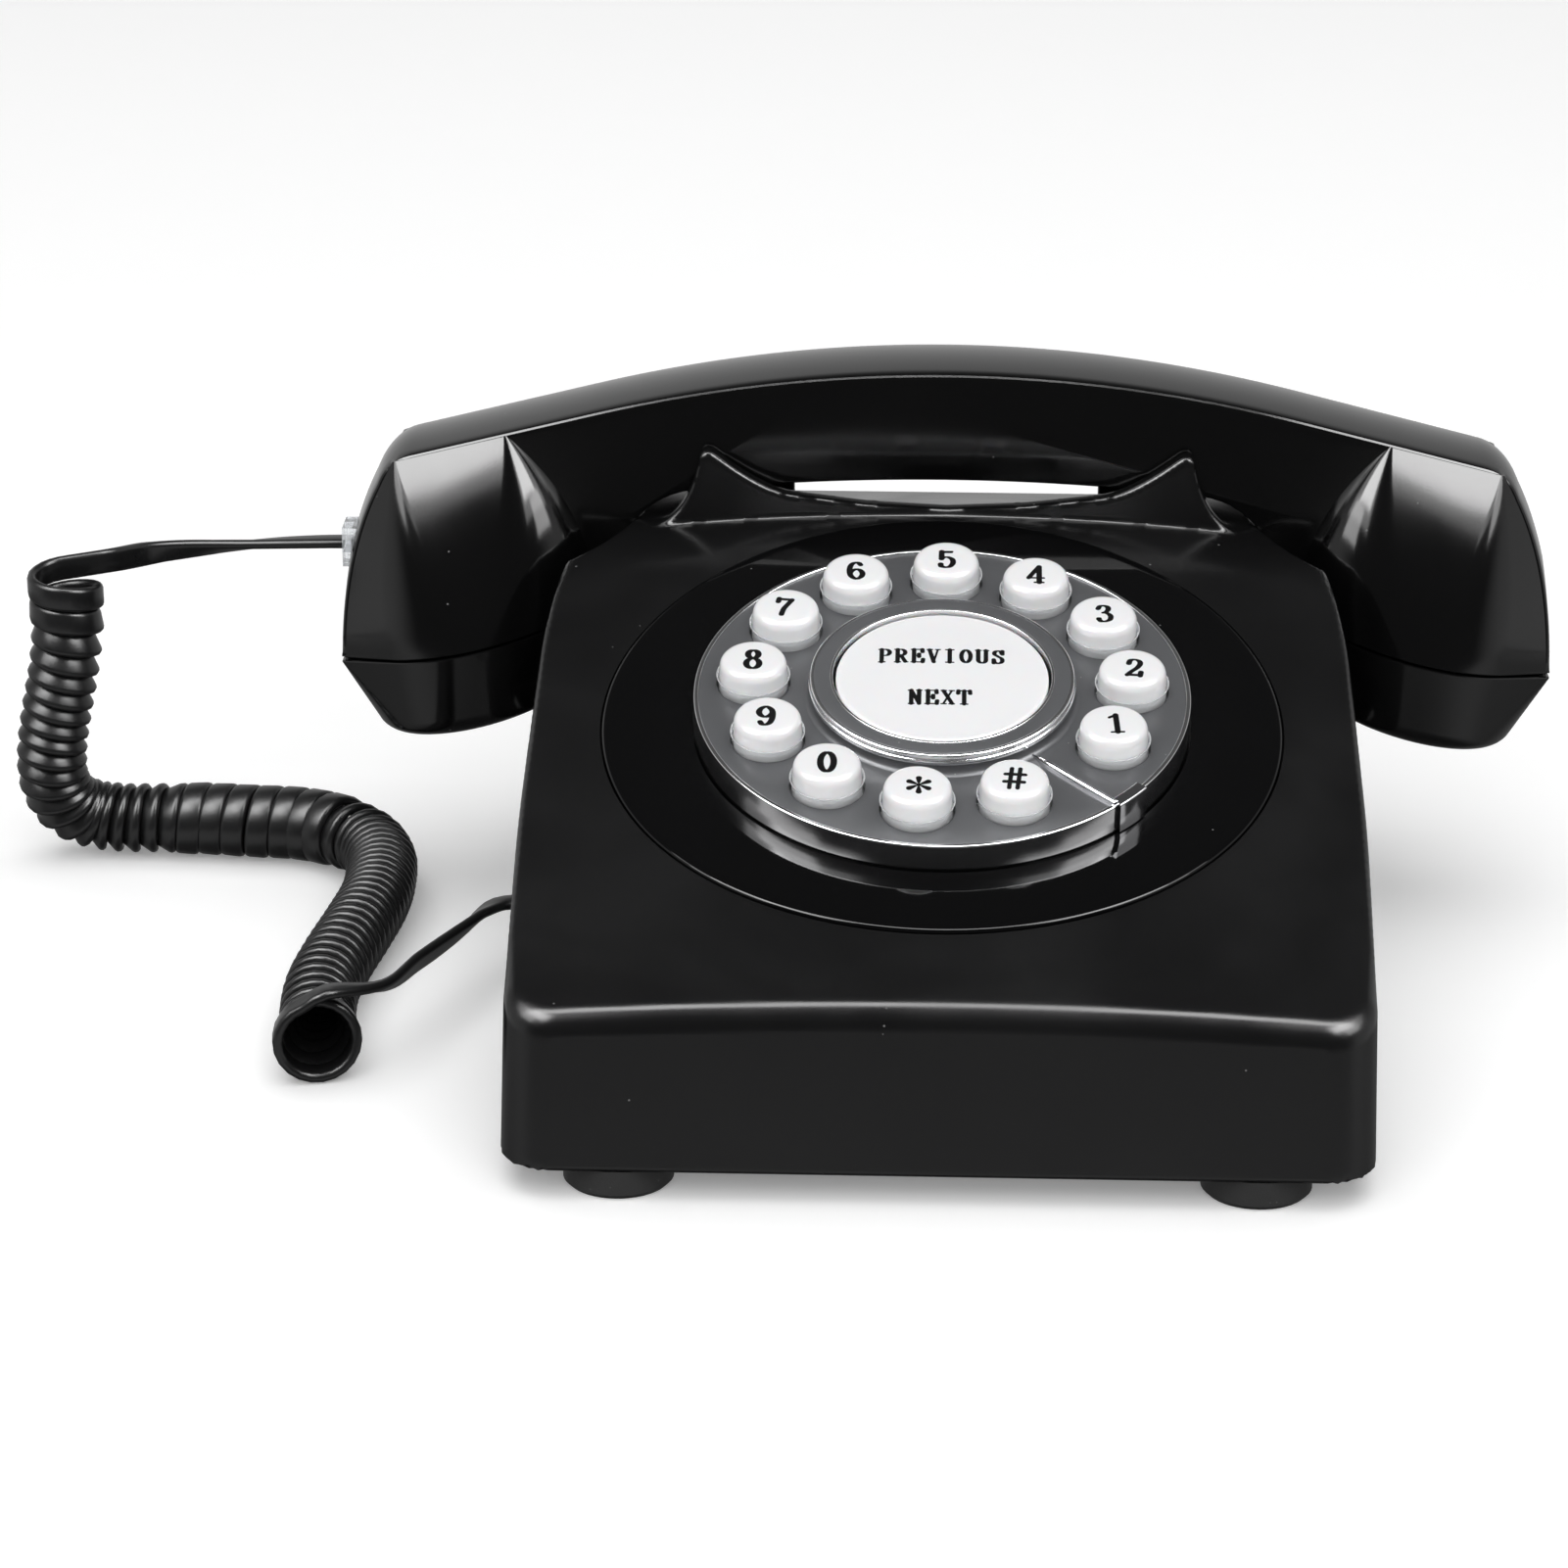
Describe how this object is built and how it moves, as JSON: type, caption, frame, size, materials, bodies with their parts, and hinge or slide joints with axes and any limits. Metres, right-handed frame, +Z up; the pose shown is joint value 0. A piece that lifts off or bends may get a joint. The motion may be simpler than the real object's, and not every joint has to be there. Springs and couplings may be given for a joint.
{
  "type": "push-button desk telephone",
  "caption": "Retro desk telephone with a dial-shaped keypad, a bowed handset across the cradle and a curly cord.",
  "frame": {"origin": "on the desk surface, under the middle of the telephone without its cord", "axes": "+X to the right as the caller sees it, along the handset; +Y from the keypad's front to the rear; +Z up"},
  "size_m": [0.2894, 0.185, 0.1029],
  "materials": {
    "housing_black": "satin moulded",
    "base_black": "matt moulded",
    "foot_rubber": "matt",
    "screw_steel": "plated",
    "plinth_gloss": "polished",
    "chrome": "bright plated",
    "plate_grey": "satin, fine metallic",
    "stop_chrome": "bright plated",
    "silicone": "matt",
    "board_green": "solder masked",
    "switch_black": "moulded",
    "speaker_black": "painted",
    "ballast_steel": "plain",
    "jack_black": "moulded",
    "plug_clear": "clear moulded",
    "cord_black": "semi-gloss sleeve",
    "handset_gloss": "polished moulded",
    "capsule_steel": "drawn can",
    "hook_black": "moulded",
    "key_white": "polished moulded",
    "skirt_clear": "clear moulded"
  },
  "bodies": {
    "base": {"upper_housing": "housing_black", "base_plate": "base_black", "rubber_feet": "foot_rubber", "base_screws": "screw_steel", "dial_plinth": "plinth_gloss", "dial_ring": "chrome", "dial_plate": "plate_grey", "hub_trim": "chrome", "button_bezel": "chrome", "finger_stop": "stop_chrome", "keypad_membrane": "silicone", "keypad_board": "board_green", "dial_screws": "screw_steel", "centre_switches": "switch_black", "main_board": "board_green", "board_parts": "switch_black", "ringer_speaker": "speaker_black", "ballast_weight": "ballast_steel", "hook_switch": "switch_black", "line_jack": "jack_black", "handset_jack": "jack_black", "cord_plug_base": "plug_clear", "cord_lead_base": "cord_black", "cord_coil": "cord_black", "cord_lead_handset": "cord_black"},
    "handset": {"handset_shell": "handset_gloss", "mouth_cap": "handset_gloss", "ear_cap": "handset_gloss", "microphone_capsule": "capsule_steel", "receiver_capsule": "capsule_steel", "handset_weight": "ballast_steel", "handset_socket": "jack_black", "cord_plug_handset": "plug_clear"},
    "hook": {"hook_lever": "hook_black"},
    "centre_rocker": {"centre_button": "key_white"},
    "key_1_unit": {"key_1": "key_white", "skirt_1": "skirt_clear"},
    "key_2_unit": {"key_2": "key_white", "skirt_2": "skirt_clear"},
    "key_3_unit": {"key_3": "key_white", "skirt_3": "skirt_clear"},
    "key_4_unit": {"key_4": "key_white", "skirt_4": "skirt_clear"},
    "key_5_unit": {"key_5": "key_white", "skirt_5": "skirt_clear"},
    "key_6_unit": {"key_6": "key_white", "skirt_6": "skirt_clear"},
    "key_7_unit": {"key_7": "key_white", "skirt_7": "skirt_clear"},
    "key_8_unit": {"key_8": "key_white", "skirt_8": "skirt_clear"},
    "key_9_unit": {"key_9": "key_white", "skirt_9": "skirt_clear"},
    "key_0_unit": {"key_0": "key_white", "skirt_0": "skirt_clear"},
    "key_star_unit": {"key_star": "key_white", "skirt_star": "skirt_clear"},
    "key_hash_unit": {"key_hash": "key_white", "skirt_hash": "skirt_clear"}
  },
  "joints": [
    {"name": "handset_lift", "type": "slide", "parent": "base", "child": "handset", "axis": [0, 0, 1], "range_m": [0, 0.08]},
    {"name": "hook_rise", "type": "slide", "parent": "base", "child": "hook", "axis": [0, 0, 1], "range_m": [0, 0.004]},
    {"name": "centre_rock", "type": "hinge", "parent": "base", "child": "centre_rocker", "pos_m": [0, -0.01756, 0.06173], "axis": [1, 0, 0], "range_deg": [-2.5, 2.5], "stiffness_Nm_per_rad": 0.1},
    {"name": "press_1", "type": "slide", "parent": "base", "child": "key_1_unit", "axis": [0, 0.3057, -0.9521], "range_m": [0, 0.0015], "stiffness_N_per_m": 400, "springref_m": -0.001},
    {"name": "press_2", "type": "slide", "parent": "base", "child": "key_2_unit", "axis": [0, 0.3057, -0.9521], "range_m": [0, 0.0015], "stiffness_N_per_m": 400, "springref_m": -0.001},
    {"name": "press_3", "type": "slide", "parent": "base", "child": "key_3_unit", "axis": [0, 0.3057, -0.9521], "range_m": [0, 0.0015], "stiffness_N_per_m": 400, "springref_m": -0.001},
    {"name": "press_4", "type": "slide", "parent": "base", "child": "key_4_unit", "axis": [0, 0.3057, -0.9521], "range_m": [0, 0.0015], "stiffness_N_per_m": 400, "springref_m": -0.001},
    {"name": "press_5", "type": "slide", "parent": "base", "child": "key_5_unit", "axis": [0, 0.3057, -0.9521], "range_m": [0, 0.0015], "stiffness_N_per_m": 400, "springref_m": -0.001},
    {"name": "press_6", "type": "slide", "parent": "base", "child": "key_6_unit", "axis": [0, 0.3057, -0.9521], "range_m": [0, 0.0015], "stiffness_N_per_m": 400, "springref_m": -0.001},
    {"name": "press_7", "type": "slide", "parent": "base", "child": "key_7_unit", "axis": [0, 0.3057, -0.9521], "range_m": [0, 0.0015], "stiffness_N_per_m": 400, "springref_m": -0.001},
    {"name": "press_8", "type": "slide", "parent": "base", "child": "key_8_unit", "axis": [0, 0.3057, -0.9521], "range_m": [0, 0.0015], "stiffness_N_per_m": 400, "springref_m": -0.001},
    {"name": "press_9", "type": "slide", "parent": "base", "child": "key_9_unit", "axis": [0, 0.3057, -0.9521], "range_m": [0, 0.0015], "stiffness_N_per_m": 400, "springref_m": -0.001},
    {"name": "press_0", "type": "slide", "parent": "base", "child": "key_0_unit", "axis": [0, 0.3057, -0.9521], "range_m": [0, 0.0015], "stiffness_N_per_m": 400, "springref_m": -0.001},
    {"name": "press_star", "type": "slide", "parent": "base", "child": "key_star_unit", "axis": [0, 0.3057, -0.9521], "range_m": [0, 0.0015], "stiffness_N_per_m": 400, "springref_m": -0.001},
    {"name": "press_hash", "type": "slide", "parent": "base", "child": "key_hash_unit", "axis": [0, 0.3057, -0.9521], "range_m": [0, 0.0015], "stiffness_N_per_m": 400, "springref_m": -0.001}
  ],
  "couplings": [
    {"joint": "hook_rise", "follows": "handset_lift", "ratio": 0.05}
  ]
}
